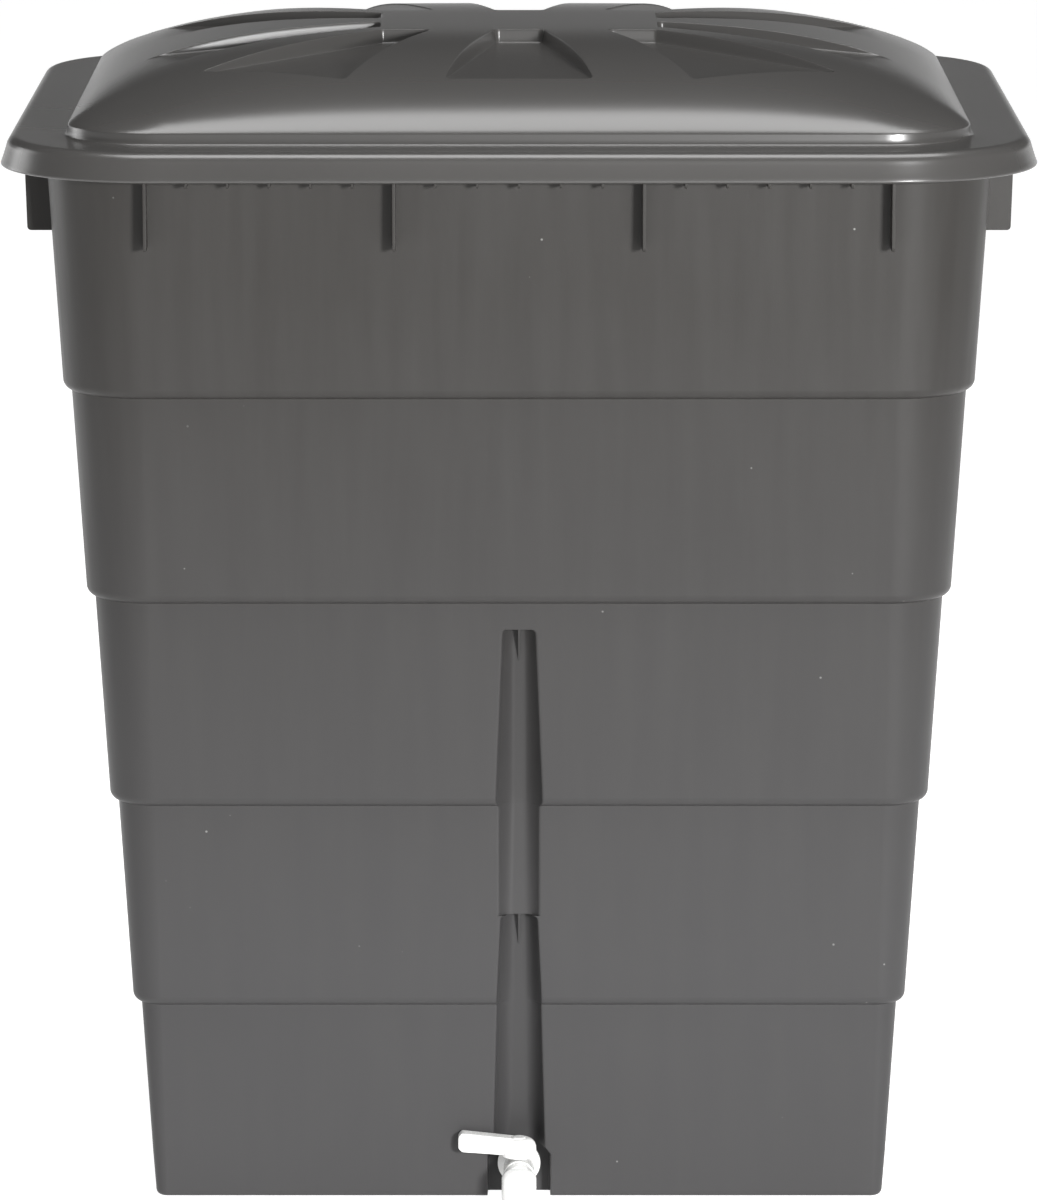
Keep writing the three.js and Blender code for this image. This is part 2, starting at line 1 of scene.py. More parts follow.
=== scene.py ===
"""Looks for the rain barrel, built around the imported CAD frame.

Shapes are worked out in millimetres and become metres when a mesh is made. +Z is up and the tap
faces -Y. Rings of points run counter-clockwise seen from above, from the middle of the front.
"""

import json
import math

import bmesh
import bpy
import numpy as np
from mathutils import Matrix, Vector
from mathutils.geometry import delaunay_2d_cdt


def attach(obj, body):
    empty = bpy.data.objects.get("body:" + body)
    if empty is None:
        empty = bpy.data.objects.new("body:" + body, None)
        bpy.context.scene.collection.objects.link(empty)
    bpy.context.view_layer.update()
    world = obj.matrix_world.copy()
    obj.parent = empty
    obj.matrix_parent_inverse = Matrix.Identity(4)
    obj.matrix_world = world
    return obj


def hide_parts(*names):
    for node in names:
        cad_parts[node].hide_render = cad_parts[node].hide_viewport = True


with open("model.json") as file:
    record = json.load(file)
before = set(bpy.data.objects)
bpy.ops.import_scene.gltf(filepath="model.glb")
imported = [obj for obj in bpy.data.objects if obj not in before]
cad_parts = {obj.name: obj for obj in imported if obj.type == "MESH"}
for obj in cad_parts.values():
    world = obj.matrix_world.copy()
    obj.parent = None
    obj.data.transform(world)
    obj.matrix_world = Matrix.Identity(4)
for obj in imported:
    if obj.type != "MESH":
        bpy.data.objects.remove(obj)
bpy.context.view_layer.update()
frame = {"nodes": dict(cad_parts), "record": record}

MM = 0.001

# Tank
WALL = 4
FLOOR = 4.5
BASE_HALF = 294.2
DEPTH_LESS = 60          # the barrel is this much shallower than wide, each side
DRAFT = 0.0612
STEP = 6.3
STEP_HEIGHTS = [163.5, 331, 498.5, 665]
EDGE_RADIUS = 8
BASE_EDGE = 5
FLAT_HALF = 284.5
FLAT_DRAFT = 0.0155
RIM_HALF = 394.3
RIM_CORNER = 115
RIM_SKIRT = 3.5
RIM_TOP = 861.2
RIM_BOTTOM = 839.5
RIM_PLATE = 4
RIM_ROUND = 3.5          # rounding of the rim's top edge
GUSSET_BOTTOM = 786
GUSSET_FRONT = [-290, -97, 97, 290]
GUSSET_SIDE = [-207, -69, 69, 207]
TICK_BOTTOM = 835.5      # the small ribs between the gussets
TICK_PITCH = 32
GUSSET_THICK = 2.5
TICK_THICK = 2
GUSSET_LEAN = 2          # the outer edge leans in by this at its foot
RIB_NIB = 3              # rounding of a rib's lower outer corner

# Recess in the front, highest stations first: height, floor y, half-widths at the wall and floor
HOOD_A = 477
HOOD_B = 239
PAD_Y = -214
PAD_TOP = 46
CHANNEL_A = [(HOOD_A, -264, 13.2, 4), (335, -247.4, 18.9, 4.5), (329, -247, 16.2, 4.5),
             (HOOD_B - 3, -247, 16.4, 6)]
CHANNEL_B = [(HOOD_B, -238, 14.8, 4), (165.5, -230.1, 18.2, 5), (161.5, -229.6, 17.8, 5),
             (75, -217.9, 20, 6), (PAD_TOP, PAD_Y, 20.6, 8), (-1, PAD_Y, 21.5, 8)]
BULGE_A = 0.5            # 0 for straight sides, 1 for round ones
BULGE_B = 0.7
HOOD_ROUND = 4
WEB_THICK = 1.8
WEB_HEIGHT = 28
WEB_ROOT = 1.5           # a web reaches this far into the recess's floor
NICHE_HALF = 25.3
NICHE_SHOULDER = 36
NICHE_TOP = 42
NICHE_TOP_HALF = 21

# Lid
LID_HALF_X = 408
LID_HALF_Y = LID_HALF_X - DEPTH_LESS
LID_CORNER = 124
LID_WALL = 3.2
SHELF = 864.7
SHELF_UNDER = SHELF - LID_WALL
ROLL = 8.6               # radius of the lip's rolled edge
INSET = 53               # lip edge to the foot of the dome
DOME_EDGE = 874
DOME_TOP = 930.4         # just inside the CAD lid
FLUTE_DEPTH = 10.8       # at the hub
FLUTE_SLOPE = 1 / 0.18   # how steep a flute's walls are
FLUTE_CORNER = 3.5       # rounding of a flute's corners in plan

# Tap
TAP_Z = 25
BALL_Y = -246
SPOUT_Y = -276
SPOUT_R = 14
HOUSING_R = 12.5
COLLAR_R = 17.2
THREAD_R = 13.1
THREAD_ROOT_R = 12.5
TAIL_END = PAD_Y + 26
COLLAR_BACK = PAD_Y - 3.6
HOUSING_FRONT = BALL_Y - 16
GROOVE = (BALL_Y - 14.2, BALL_Y - 11.8)


# ---- Meshes ----

def new_object(name, verts, faces):
    mesh = bpy.data.meshes.new(name)
    mesh.from_pydata([(x * MM, y * MM, z * MM) for x, y, z in verts], [], faces)
    mesh.update()
    obj = bpy.data.objects.new(name, mesh)
    bpy.context.scene.collection.objects.link(obj)
    return obj


def apply_modifiers(obj):
    bpy.context.view_layer.update()
    graph = bpy.context.evaluated_depsgraph_get()
    mesh = bpy.data.meshes.new_from_object(obj.evaluated_get(graph))
    obj.modifiers.clear()
    obj.data = mesh
    return obj


def combine(obj, other, operation):
    modifier = obj.modifiers.new("solid", "BOOLEAN")
    modifier.operation = operation
    modifier.solver = "EXACT"
    modifier.object = other
    apply_modifiers(obj)
    bpy.data.objects.remove(other)
    return obj


def join(name, objects):
    """One object from several, each kept as its own closed island."""
    shape = bmesh.new()
    for obj in objects:
        shape.from_mesh(obj.data)
        bpy.data.objects.remove(obj)
    mesh = bpy.data.meshes.new(name)
    shape.to_mesh(mesh)
    shape.free()
    obj = bpy.data.objects.new(name, mesh)
    bpy.context.scene.collection.objects.link(obj)
    return obj


def smooth(obj, degrees=32):
    obj.data.shade_smooth()
    obj.data.set_sharp_from_angle(angle=math.radians(degrees))
    weighted = obj.modifiers.new("weighted", "WEIGHTED_NORMAL")
    weighted.keep_sharp = True
    return obj


def bevel(obj, width, segments=3, degrees=40):
    modifier = obj.modifiers.new("bevel", "BEVEL")
    modifier.width = width * MM
    modifier.segments = segments
    modifier.limit_method = "ANGLE"
    modifier.angle_limit = math.radians(degrees)
    modifier.use_clamp_overlap = True
    return apply_modifiers(obj)


def strips(levels, count, first=0):
    """Quads between rings of `count` points, the first of which starts at vertex `first`."""
    faces = []
    for level in range(levels - 1):
        low = first + level * count
        for i in range(count):
            j = (i + 1) % count
            faces.append((low + i, low + j, low + count + j, low + count + i))
    return faces


def lathe(name, profile, segments=64):
    """A body of revolution about Z from [radius, height] points, up the outside. A profile that
    starts and ends on the axis makes a solid, and any other is joined end to start as a ring."""
    solid = profile[0][0] == 0
    body = profile[1:-1] if solid else profile
    verts = []
    for radius, height in body:
        for i in range(segments):
            angle = 2 * math.pi * i / segments
            verts.append((radius * math.cos(angle), radius * math.sin(angle), height))
    faces = strips(len(body), segments)
    if solid:
        faces.append(tuple(reversed(range(segments))))
        faces.append(tuple(range((len(body) - 1) * segments, len(body) * segments)))
    else:
        last = (len(body) - 1) * segments
        for i in range(segments):
            j = (i + 1) % segments
            faces.append((last + i, last + j, j, i))
    return new_object(name, verts, faces)


def disc(radius, low, high):
    """The profile of a plain cylinder."""
    return [(0, low), (radius, low), (radius, high), (0, high)]


def rounded_profile(points, radius, steps=4):
    """The same profile with its inner corners rounded."""
    made = [points[0]]
    for before, corner, after in zip(points, points[1:], points[2:]):
        corner = Vector(corner)
        to_before = Vector(before) - corner
        to_after = Vector(after) - corner
        reach = min(radius, to_before.length * 0.45, to_after.length * 0.45)
        start = corner + to_before.normalized() * reach
        end = corner + to_after.normalized() * reach
        for i in range(steps + 1):
            t = i / steps
            made.append(tuple(start * (1 - t) ** 2 + corner * 2 * t * (1 - t) + end * t * t))
    return made + [points[-1]]


def move(obj, matrix):
    obj.data.transform(matrix)
    obj.data.update()
    return obj


def stand_at(obj, y):
    """Set a piece that was made on the Z axis down at y."""
    return move(obj, Matrix.Translation((0, y * MM, 0)))


def along_y(obj, y=0, z=TAP_Z):
    """Turns a body built about +Z so that its +Z end faces +Y."""
    turn = Matrix.Rotation(math.radians(-90), 4, "X")
    return move(obj, Matrix.Translation((0, y * MM, z * MM)) @ turn)


def prism(name, outline, low, high):
    """A closed prism from [u, v] points, between two places along its own Z."""
    count = len(outline)
    verts = [(u, v, low) for u, v in outline] + [(u, v, high) for u, v in outline]
    faces = strips(2, count) + [tuple(reversed(range(count))), tuple(range(count, 2 * count))]
    return new_object(name, verts, faces)


# ---- Tank ----

def outer_half(z, tier):
    return BASE_HALF + DRAFT * z + STEP * tier


def tier_at(z):
    return sum(z > height for height in STEP_HEIGHTS)


def station(stations, z):
    heights = [row[0] for row in stations][::-1]
    return [float(np.interp(z, heights, [row[k] for row in stations][::-1])) for k in (1, 2, 3)]


def recess(z, side, grow):
    """Floor y, half-width at the wall, half-width of the floor and roundness of the recess in the
    front, or None above it. side is 1 just above a height and -1 just below it."""
    def below(top):
        return z < top - 1e-6 or (abs(z - top) < 1e-6 and side < 0)

    if below(NICHE_TOP + grow):
        shoulder = [NICHE_SHOULDER + grow / 2, NICHE_TOP + grow]
        half = float(np.interp(z, shoulder, [NICHE_HALF, NICHE_TOP_HALF]))
        return PAD_Y + grow, half + grow, half + grow - 0.2, 0
    for top, stations, bulge in ((HOOD_B, CHANNEL_B, BULGE_B), (HOOD_A, CHANNEL_A, BULGE_A)):
        if below(top + grow):
            floor_y, mouth, floor = station(stations, z)
            left = top + grow - z
            if left < HOOD_ROUND:
                mouth -= HOOD_ROUND - math.sqrt(HOOD_ROUND**2 - (HOOD_ROUND - left) ** 2)
            return floor_y + grow, max(mouth, floor + 0.8) + grow, floor + grow, bulge
    return None


def front_columns(z, side, wall_y, grow):
    """The +X half of the front, from its middle to just past the recess, with rounded corners."""
    found = recess(z, side, grow)
    floor_y, mouth, floor, bulge = found or recess(HOOD_A, -1, grow)
    lead = 30
    rises = np.linspace(0, 1, 25)
    sides = (1 - bulge) * rises + bulge * np.sqrt(1 - (1 - rises) ** 2)
    x = np.concatenate(([-lead, 0], floor + (mouth - floor) * sides, [mouth + 40]))
    y = np.concatenate(([floor_y, floor_y], floor_y + (wall_y - floor_y) * rises, [wall_y]))
    run = np.concatenate(([0], np.cumsum(np.hypot(np.diff(x), np.diff(y))))) - lead
    edge = floor
    reach = run[-2]
    blend = 1.6
    places = [0, edge / 2, edge - blend, edge - blend / 2, edge, edge + blend / 2, edge + blend]
    span = reach - edge - 2 * blend
    places += [edge + blend + span * share for share in (0.12, 0.27, 0.43, 0.6, 0.77, 0.9)]
    places += [reach - blend, reach - blend / 2, reach, reach + blend / 2, reach + blend, reach + 8]
    window = np.linspace(-blend, blend, 13)
    columns = [(float(np.interp(p + window, run, x).mean()), float(np.interp(p + window, run, y).mean()))
               for p in places]
    columns[0] = (0, columns[0][1])
    if not found:
        columns = [(px, wall_y) for px, _ in columns]
    return columns


def tank_ring(z, half, radius, side=1, grow=0):
    """One ring round the tank or its rim."""
    half_y = half - DEPTH_LESS
    corner_steps = 14
    between = 5
    front = front_columns(z, side, -half_y, grow)
    edge_x = front[-1][0]
    flat = half - radius
    right = front + [(edge_x + (flat - edge_x) * i / between, -half_y) for i in range(1, between)]
    ring = list(right)
    for quarter, (sx, sy) in enumerate(((1, -1), (1, 1), (-1, 1), (-1, -1))):
        for i in range(corner_steps + 1):
            angle = math.pi / 2 * (quarter - 1 + i / corner_steps)
            ring.append((sx * flat + radius * math.cos(angle),
                         sy * (half_y - radius) + radius * math.sin(angle)))
        if quarter < 3:
            x, y = ring[-1]
            dx, dy = ((0, 2 * (half_y - radius)), (-2 * flat, 0), (0, -2 * (half_y - radius)))[quarter]
            ring += [(x + dx * i / between, y + dy * i / between) for i in range(1, between)]
    ring += [(-x, y) for x, y in reversed(right[1:])]
    return [(x, y, z) for x, y in ring]


def wall_rings(inset, bottom, top):
    """Rings up one skin of the wall, lowest first."""
    rings = []

    def add(z, reference, tier, run, side=1):
        half = outer_half(reference, tier)
        radius = half - FLAT_HALF - FLAT_DRAFT * reference
        rings.append(tank_ring(z, half - run, max(radius - run, 3), side, inset))

    def straight(low, high):
        """The places between two heights where the recess changes."""
        tier = tier_at((low + high) / 2)
        marks = {(z, 1) for z in (NICHE_SHOULDER, PAD_TOP, 75, 161.5, 329, 120, 200, 290, 400)}
        for hood in (NICHE_TOP, HOOD_B, HOOD_A):
            marks |= {(hood + inset, -1), (hood + inset, 1)}
        for hood in (HOOD_B, HOOD_A):
            marks |= {(hood + inset - drop, -1) for drop in (0.4, 1, 1.8, 2.8, HOOD_ROUND)}
            marks |= {(hood - WEB_HEIGHT, 1)}
        for z, side in sorted(marks):
            if low + 0.5 < z < high - 0.5:
                add(z, z, tier, inset, side)

    steps = 6
    for i in range(steps + 1):
        angle = math.pi / 2 * i / steps
        add(bottom + BASE_EDGE * (1 - math.cos(angle)), bottom, 0, inset + BASE_EDGE * (1 - math.sin(angle)))
    reached = bottom + BASE_EDGE
    end = math.acos(1 - STEP / EDGE_RADIUS)
    for tier, line in enumerate(STEP_HEIGHTS):
        centre = line + EDGE_RADIUS * math.sin(end)
        radius = EDGE_RADIUS - inset
        shelf = centre - radius * math.sin(end)
        straight(reached, shelf - 0.4)
        add(shelf - 0.4, shelf - 0.4, tier, inset)
        for i in range(steps, -1, -1):
            angle = end * i / steps
            add(centre - radius * math.sin(angle), centre, tier + 1, EDGE_RADIUS - radius * math.cos(angle))
        reached = centre
    straight(reached, top - 1)
    add(top, top, len(STEP_HEIGHTS), inset)
    return rings


def rim_rings():
    """Rings out under the rim's plate, round its skirt and in over its top."""
    wall = outer_half(RIM_TOP, len(STEP_HEIGHTS))
    under = RIM_TOP - RIM_PLATE
    rim_inner = RIM_HALF - RIM_SKIRT
    profile = [(wall + 1.2, under), (rim_inner - 1, under), (rim_inner, under - 1),
               (rim_inner, RIM_BOTTOM + 1)]
    middle = RIM_HALF - RIM_SKIRT / 2
    for i in range(9):
        angle = math.pi * (1 - i / 8)
        profile.append((middle + RIM_SKIRT / 2 * math.cos(angle), RIM_BOTTOM + 1 - math.sin(angle)))
    for i in range(7):
        angle = math.pi / 2 * i / 6
        profile.append((RIM_HALF - RIM_ROUND * (1 - math.cos(angle)),
                        RIM_TOP - RIM_ROUND * (1 - math.sin(angle))))
    profile += [(wall - WALL + 1.3, RIM_TOP), (wall - WALL + 0.4, RIM_TOP - 0.4)]
    rings = []
    for half, z in profile:
        share = (half - wall) / (RIM_HALF - wall)
        wall_corner = half - FLAT_HALF - FLAT_DRAFT * z
        rim_corner = RIM_CORNER - RIM_HALF + half
        rings.append(tank_ring(z, half, wall_corner + (rim_corner - wall_corner) * min(max(share * 4, 0), 1)))
    return rings


def plate(outline, along, thick, turn=0):
    """An upright plate with softened edges, from [y, z] points, centred on x = along."""
    count = len(outline)
    verts = [(along + side * thick / 2, y, z) for side in (-1, 1) for y, z in outline]
    faces = strips(2, count) + [tuple(reversed(range(count))), tuple(range(count, 2 * count))]
    obj = new_object("plate", verts, faces)
    shape = bmesh.new()
    shape.from_mesh(obj.data)
    bmesh.ops.recalc_face_normals(shape, faces=shape.faces)
    bmesh.ops.bevel(shape, geom=shape.edges[:], offset=0.35 * MM, segments=2, profile=0.5, affect="EDGES")
    shape.to_mesh(obj.data)
    shape.free()
    return move(obj, Matrix.Rotation(math.radians(turn), 4, "Z"))


def rim_rib(along, thick, foot, turn, less):
    """A rib under the rim, on the side that faces -Y turned by `turn` degrees."""
    wall = -(outer_half(foot, len(STEP_HEIGHTS)) - less) + WALL / 2
    edge = -(RIM_HALF - less) + RIM_SKIRT - 0.5
    top = RIM_TOP - RIM_PLATE / 2
    lean = GUSSET_LEAN if foot == GUSSET_BOTTOM else 0
    corner = [(edge + lean + RIB_NIB * (1 - math.cos(a)), foot + RIB_NIB * (1 - math.sin(a)))
              for a in np.linspace(0, math.pi / 2, 6)]
    return plate([(edge, top)] + corner + [(wall, foot), (wall, top)], along, thick, turn)


def make_tank():
    outer = wall_rings(0, 0, RIM_TOP - RIM_PLATE - 1)
    inner = wall_rings(WALL, FLOOR, RIM_TOP - 1.4)[::-1]
    rings = outer + rim_rings() + inner
    count = len(rings[0])
    verts = [point for ring in rings for point in ring]
    last = len(verts) - count
    faces = strips(len(rings), count) + [tuple(reversed(range(count))), tuple(range(last, last + count))]
    skin = new_object("tank_skin", verts, faces)
    hole = along_y(lathe("hole", disc(THREAD_R + 0.5, -10, 10)), PAD_Y)
    combine(skin, hole, "DIFFERENCE")
    pieces = [skin]
    sides = [(0, GUSSET_FRONT, DEPTH_LESS), (180, GUSSET_FRONT, DEPTH_LESS),
             (90, GUSSET_SIDE, 0), (270, GUSSET_SIDE, 0)]
    for turn, places, less in sides:
        for index, place in enumerate(places):
            pieces.append(rim_rib(place, GUSSET_THICK, GUSSET_BOTTOM, turn, less))
            if index:
                span = place - places[index - 1]
                cells = round(span / TICK_PITCH)
                pieces += [rim_rib(place - span * i / cells, TICK_THICK, TICK_BOTTOM, turn, less)
                           for i in range(1, cells)]
    for top, edge, stations in ((HOOD_A, -(outer_half(HOOD_A, 2) - DEPTH_LESS) + 0.8, CHANNEL_A),
                                (HOOD_B, CHANNEL_A[-1][1] + 0.6, CHANNEL_B)):
        foot = top - WEB_HEIGHT
        floor_top = station(stations, top)[0]
        floor_foot = station(stations, foot)[0]
        outline = [(edge, top + 1), (edge, top), (floor_foot - 0.2, foot), (floor_foot + WEB_ROOT, foot),
                   (floor_top + WEB_ROOT, top + 1)]
        pieces.append(plate(outline, 0, WEB_THICK))
    return smooth(join("tank_shell", pieces))


# ---- Lid ----

# Each flute's floor as plan corners, then its rise along x and y, and the middle of its hub wall.
FLUTES = [
    ([(-18, -72), (-58, -236), (58, -236), (18, -72)], (0, 0.066), (0, -72)),
    ([(110, -72), (72, -72), (137, -236), (252, -198)], (-0.016, 0.0655), (91, -72)),
    ([(114, -14), (114, -50), (304, -154), (316, -70)], (-0.064, 0.01), (114, -32)),
]
BOTH_ENDS = [(1, 1), (1, -1)]
ALL_QUARTERS = [(1, 1), (-1, 1), (1, -1), (-1, -1)]
MIRRORS = [BOTH_ENDS, ALL_QUARTERS, ALL_QUARTERS]


def shrink(corners, by):
    """A counter-clockwise polygon moved inward by a distance."""
    made = []
    for i, corner in enumerate(corners):
        a = (Vector(corner) - Vector(corners[i - 1])).normalized()
        b = (Vector(corners[(i + 1) % len(corners)]) - Vector(corner)).normalized()
        bisector = (Vector((-a.y, a.x)) + Vector((-b.y, b.x))).normalized()
        made.append(Vector(corner) + bisector * by / bisector.dot(Vector((-a.y, a.x))))
    return made


def signed_distance(points, corners):
    """Distance outside a convex counter-clockwise polygon with rounded corners."""
    core = np.array([tuple(p) for p in shrink(corners, FLUTE_CORNER)])
    nearest = np.full(len(points), 1e9)
    inside = np.full(len(points), -1e9)
    for i in range(len(core)):
        a, b = core[i], core[(i + 1) % len(core)]
        d = b - a
        length = math.hypot(*d)
        rel = points - a
        t = np.clip(rel @ d / length**2, 0, 1)
        nearest = np.minimum(nearest, np.hypot(*(rel - t[:, None] * d).T))
        inside = np.maximum(inside, (rel[:, 0] * d[1] - rel[:, 1] * d[0]) / length)
    return np.where(inside > 0, nearest, inside) - FLUTE_CORNER


def dome_height(points, half_x=LID_HALF_X - INSET, half_y=LID_HALF_Y - INSET, radius=LID_CORNER - INSET):
    """Height of the dome without its flutes."""
    x, y = np.abs(points).T
    cx, cy = half_x - radius, half_y - radius
    a = cx**2 + cy**2 - radius**2
    b = x * cx + y * cy
    root = (b - np.sqrt(np.maximum(b**2 - a * (x**2 + y**2), 0))) / a
    in_corner = (x > root * cx) & (y > root * cy)
    scale = np.where(in_corner, root, np.maximum(x / half_x, y / half_y))

    def fall(u):
        return 0.87 * u**4 + 0.13 * u**24

    weight = scale**4
    lower = (1 - weight) * (fall(x / half_x) + fall(y / half_y)) + weight * fall(scale)
    edge = np.maximum(0, 1 - (1 - scale) * half_y / 2.4)
    return DOME_TOP - (DOME_TOP - DOME_EDGE) * lower - 0.5 * edge**2


def flute_floor(points, flute):
    """Height of the plane that a flute's floor lies in."""
    _, rise, start = flute
    return DOME_TOP - FLUTE_DEPTH + rise[0] * (points[:, 0] - start[0]) + rise[1] * (points[:, 1] - start[1])


def lid_height(points, grow=0):
    """Height of the fluted top, or of its underside grown by the wall."""
    folded = np.abs(points) * (1, -1)
    height = dome_height(points)
    soft = 0.7
    blend = 2.2
    for flute in FLUTES:
        gap = signed_distance(folded, flute[0]) - grow
        ramp = np.where(gap < -soft, 0, np.where(gap > soft, gap, (gap + soft) ** 2 / (4 * soft)))
        wall = flute_floor(folded, flute) + FLUTE_SLOPE * ramp
        share = np.clip(0.5 + 0.5 * (height - wall) / blend, 0, 1)
        height = height + (wall - height) * share - blend * share * (1 - share)
    return height - grow


def lid_ring(run, z, spacing=9):
    """One ring round the lid; run is how far it lies inside the lip."""
    half_x, half_y, radius = LID_HALF_X - run, LID_HALF_Y - run, LID_CORNER - run
    corner_steps = 20
    side_x = round(2 * (LID_HALF_X - LID_CORNER) / spacing)
    side_y = round(2 * (LID_HALF_Y - LID_CORNER) / spacing)
    ring = []
    for quarter, (sx, sy) in enumerate(((1, -1), (1, 1), (-1, 1), (-1, -1))):
        for i in range(corner_steps + 1):
            angle = math.pi / 2 * (quarter - 1 + i / corner_steps)
            ring.append((sx * (half_x - radius) + radius * math.cos(angle),
                         sy * (half_y - radius) + radius * math.sin(angle)))
        x, y = ring[-1]
        steps = (side_y, side_x)[quarter % 2]
        dx, dy = ((0, 1), (-1, 0), (0, -1), (1, 0))[quarter]
        reach = 2 * ((half_y, half_x)[quarter % 2] - radius)
        ring += [(x + dx * reach * i / steps, y + dy * reach * i / steps) for i in range(1, steps)]
    return [(x, y, z) for x, y in ring]


def flute_rows(flute, mirror, grow, spacing):
    """Closed rows of plan points that follow a flute's walls, foot to brim, each row at least a
    little further out than the one before."""
    core = shrink(flute[0], FLUTE_CORNER)
    base, normals = [], []
    for i, a in enumerate(core):
        b = core[(i + 1) % len(core)]
        c = core[(i + 2) % len(core)]
        along = (b - a).normalized()
        normal = Vector((along.y, -along.x))
        after = (c - b).normalized()
        turn = math.atan2(along.x * after.y - along.y * after.x, along.dot(after))
        steps = max(round((b - a).length / spacing), 1)
        for k in range(steps):
            base.append(tuple(a + (b - a) * k / steps))
            normals.append(tuple(normal))
        bends = max(round(math.degrees(turn) / 12), 2)
        for k in range(bends):
            angle = turn * k / bends
            base.append(tuple(b))
            normals.append((normal.x * math.cos(angle) - normal.y * math.sin(angle),
                            normal.x * math.sin(angle) + normal.y * math.cos(angle)))
    base, normals = np.array(base), np.array(normals)
    foot = base + normals * FLUTE_CORNER
    depth = dome_height(foot) - flute_floor(foot, flute)
    brim = np.maximum(depth, 0) / FLUTE_SLOPE
    rows = []
    reached = np.full(len(base), -9.0)
    for offset in (-1.7, -0.7, -0.35, 0, 0.35, 0.7):
        reached = np.maximum(reached + 0.12, offset)
        rows.append(reached)
    rows.append(np.maximum(reached + 0.12, brim * 0.55))
    for offset in (-0.7, -0.4, -0.15, 0.1, 0.35, 0.65, 1.4, 3):
        rows.append(np.maximum(rows[-1] + 0.12, brim + offset))
    made = [foot + normals * (row + grow)[:, None] for row in rows]
    return [row * mirror for row in made]


def lid_sheet(grow, spacing):
    """The dome's top or underside: its plan points, triangles and how many points its edge has."""
    edge = [point[:2] for point in lid_ring(INSET + grow, 0)]
    points = [np.array(edge)]
    lines = [np.column_stack((np.arange(len(edge)), np.roll(np.arange(len(edge)), -1)))]
    total = len(edge)
    for inward in (0.6, 1.3, 2.2, 3.6, 6, 9, 13, 18, 24, 31):
        row = np.array([point[:2] for point in lid_ring(INSET + grow + inward, 0)])
        if inward > 8:
            row = row[::2]
        points.append(row)
        total += len(row)
    for flute, mirrors in zip(FLUTES, MIRRORS):
        for mirror in mirrors:
            for row in flute_rows(flute, mirror, grow, spacing):
                order = np.arange(total, total + len(row))
                lines.append(np.column_stack((order, np.roll(order, -1))))
                points.append(row)
                total += len(row)
    grid = 10
    xs, ys = np.meshgrid(np.arange(-320, 321, grid), np.arange(-290, 291, grid))
    spread = np.column_stack((xs.ravel(), ys.ravel())).astype(float)
    folded = np.abs(spread) * (1, -1)
    gaps = np.array([signed_distance(folded, flute[0]) - grow for flute in FLUTES]).min(0)
    core = np.array([LID_HALF_X - LID_CORNER, LID_HALF_Y - LID_CORNER])
    beyond = np.abs(spread) - core
    outside = np.where((beyond > 0).all(1), np.hypot(*np.maximum(beyond, 0).T), beyond.max(1))
    edge_band = 38          # the rows along the edge fill this, so the grid starts past it
    keep = ((gaps > 9) | (gaps < -5)) & (outside < LID_CORNER - INSET - grow - edge_band)
    points.append(spread[keep])
    plan = np.concatenate(points)
    result = delaunay_2d_cdt([Vector(p) for p in plan], np.concatenate(lines).tolist(), [], 1, 1e-5)
    plan_out = np.array([tuple(v) for v in result[0]])
    place = {}
    for made, sources in enumerate(result[3]):
        for source in sources:
            place[source] = made
    return plan_out, result[2], [place[i] for i in range(len(edge))]


def top_normals(points, grow):
    """Exact normals of the fluted top, from its height a small reach away on each side."""
    reach = 0.06
    right = lid_height(points + (reach, 0), grow) - lid_height(points - (reach, 0), grow)
    back = lid_height(points + (0, reach), grow) - lid_height(points - (0, reach), grow)
    normals = np.column_stack((-right, -back, np.full(len(points), 2 * reach)))
    return normals / np.linalg.norm(normals, axis=1)[:, None]


def lid_profile():
    """Inset and height from the dome's edge down over the shelf and lip and up the inside."""
    foot = [(0.07, 872.9), (0.15, 872.1), (0.3, 870), (0.55, 868.2), (0.85, 867.1), (1.1, 866.2),
            (1.5, 865.5), (2.1, 865), (2.9, 864.75), (4, SHELF), (19, SHELF)]
    down = [(INSET - out, z) for out, z in foot] + [(15, SHELF)]
    for angle in np.linspace(math.pi / 2, 0.15, 12):
        down.append((4.4 + ROLL * (1 - math.cos(angle)), SHELF - ROLL * (1 - math.sin(angle))))
    down += [(3.6, 854.4), (2.2, 850), (1, 846.4), (0.1, 844), (0, 843.2), (0.3, 842.5), (0.9, 842.1),
             (1.7, 842.0), (2.5, 842.3), (3, 843)]
    inner = [(3.3, 844), (5.4, 850), (7.8, 855.6), (9.4, 858.5), (12.4, 860.6), (16.7, SHELF_UNDER),
             (30, SHELF_UNDER), (INSET - 0.5, SHELF_UNDER), (INSET + 1.6, SHELF - 2.4),
             (INSET + 2.3, SHELF), (INSET + 2.9, 868.5)]
    return down + inner


